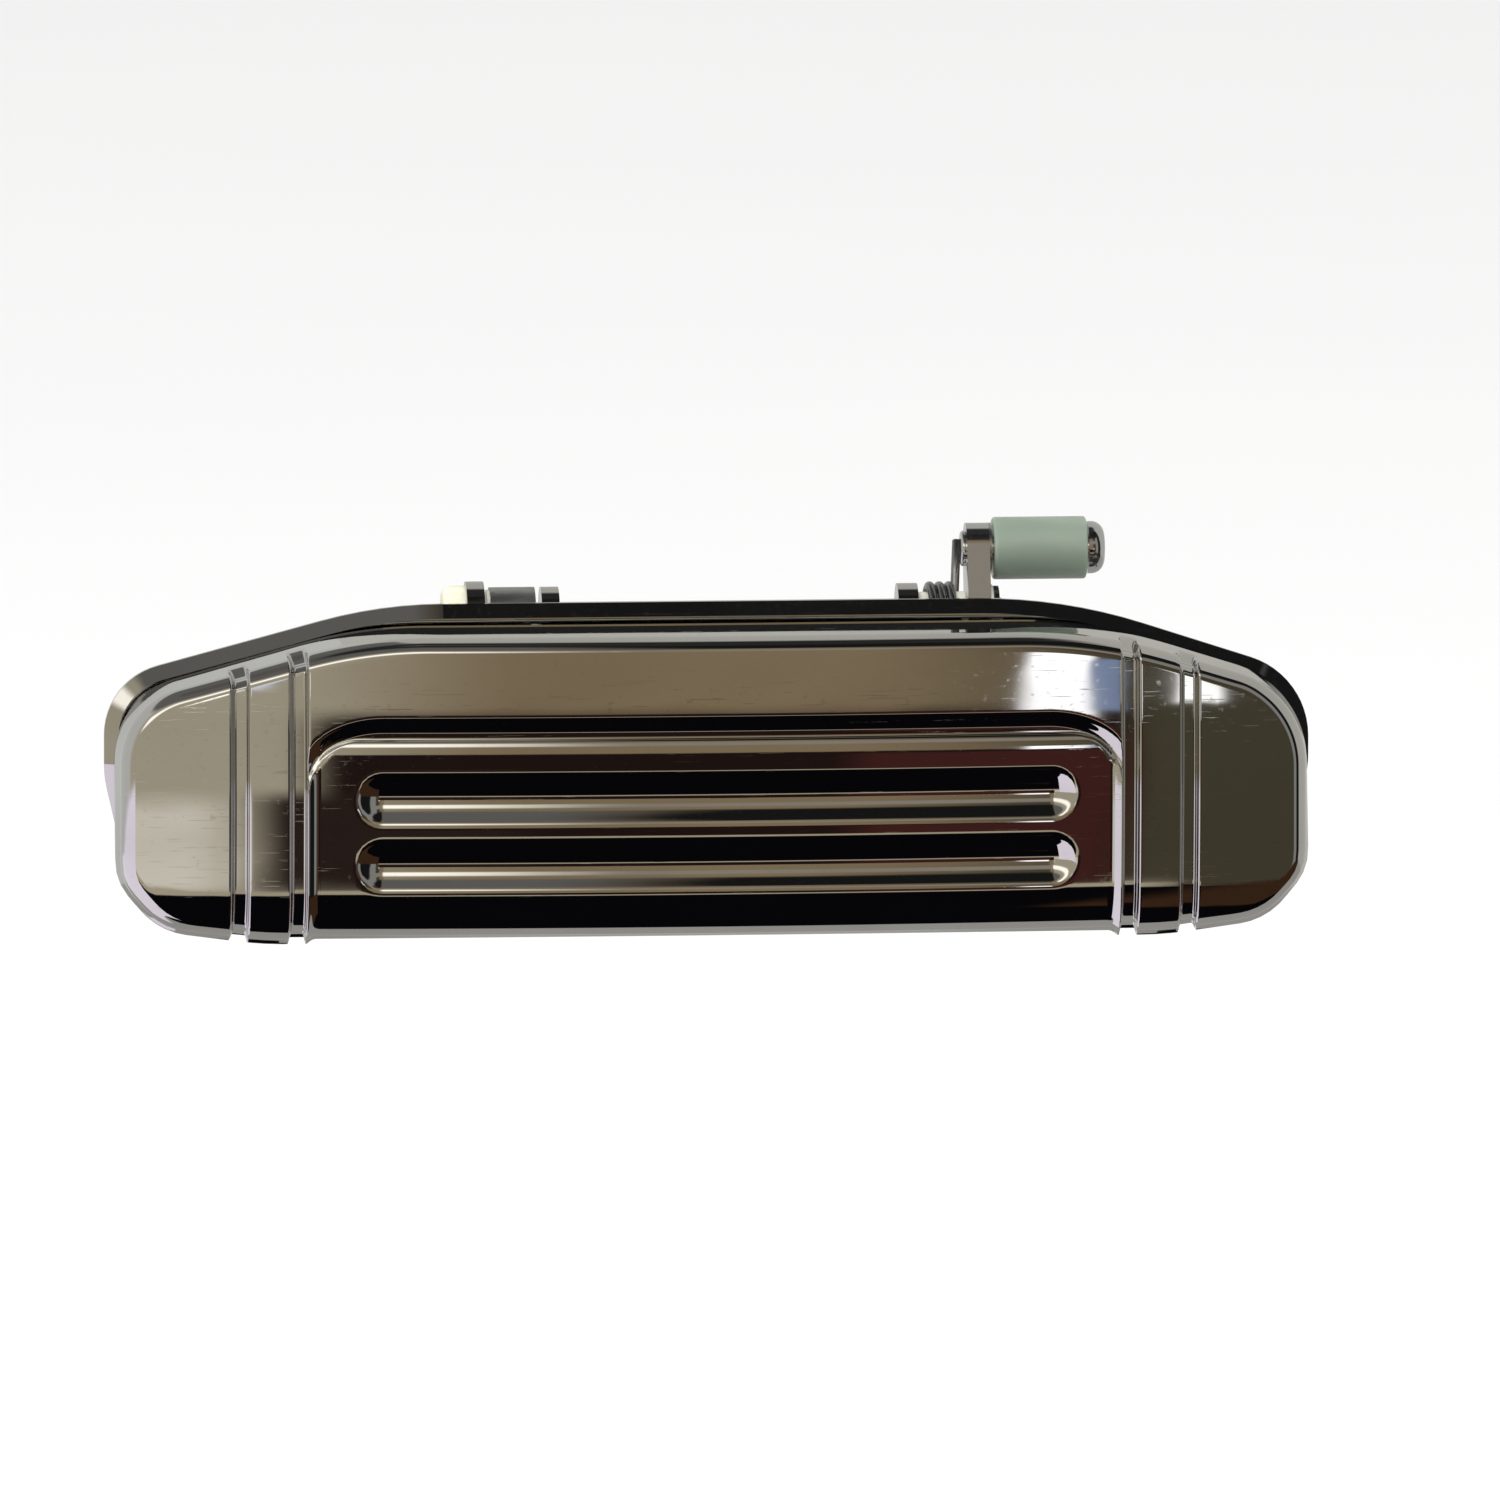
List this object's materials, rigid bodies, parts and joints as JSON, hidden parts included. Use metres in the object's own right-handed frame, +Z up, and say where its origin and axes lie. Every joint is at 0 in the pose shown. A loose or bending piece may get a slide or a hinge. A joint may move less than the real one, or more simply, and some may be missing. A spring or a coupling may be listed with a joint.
{
  "type": "car door handle",
  "caption": "Exterior car door handle: a chromed pull paddle with a recessed slotted panel, hinged on a flanged base, with a return spring and a release roller.",
  "frame": {"origin": "centre of the face that lies on the door skin, which is the back face of the gasket", "axes": "+X along the handle to the right, +Y into the door, +Z up"},
  "size_m": [0.2024, 0.0419, 0.068],
  "materials": {
    "chrome_base": "bright chrome plate on zinc die casting",
    "chrome_paddle": "mirror chrome plate with faint polishing marks",
    "chrome_lever": "bright chrome plate",
    "carrier_zinc": "zinc plated, dull",
    "zinc_steel": "bright zinc plate",
    "pin_steel": "ground steel",
    "spring_steel": "drawn spring wire, lightly oiled",
    "natural_nylon": "natural nylon",
    "roller_nylon": "translucent greenish natural nylon",
    "gasket_rubber": "matt black rubber",
    "bumper_rubber": "matt black rubber"
  },
  "bodies": {
    "base": {"base_frame": "chrome_base", "base_gasket": "gasket_rubber", "mounting_studs": "zinc_steel", "hinge_pin": "pin_steel", "hinge_pin_cap": "natural_nylon", "hinge_pin_clip": "spring_steel", "spring_sleeve": "natural_nylon", "return_spring": "spring_steel", "rest_bumper_left": "bumper_rubber", "rest_bumper_right": "bumper_rubber", "open_stop_pads": "bumper_rubber"},
    "paddle": {"paddle_shell": "chrome_paddle", "paddle_carrier": "carrier_zinc", "carrier_screws": "zinc_steel", "hinge_bush_left": "natural_nylon", "hinge_bush_right": "natural_nylon", "release_lever": "chrome_lever", "lever_rivets": "zinc_steel", "roller_rivet": "chrome_lever", "roller_washer": "zinc_steel"},
    "roller": {"release_roller": "roller_nylon"}
  },
  "joints": [
    {"name": "paddle_hinge", "type": "hinge", "parent": "base", "child": "paddle", "pos_m": [0, 0.008, 0.0265], "axis": [-1, 0, 0], "range_deg": [0, 27], "stiffness_Nm_per_rad": 0.9, "springref_deg": -34.38, "deforming": ["return_spring"]},
    {"name": "roller_spin", "type": "hinge", "parent": "paddle", "child": "roller", "pos_m": [0.0568, 0.011, 0.0365], "axis": [1, 0, 0], "continuous": true}
  ]
}
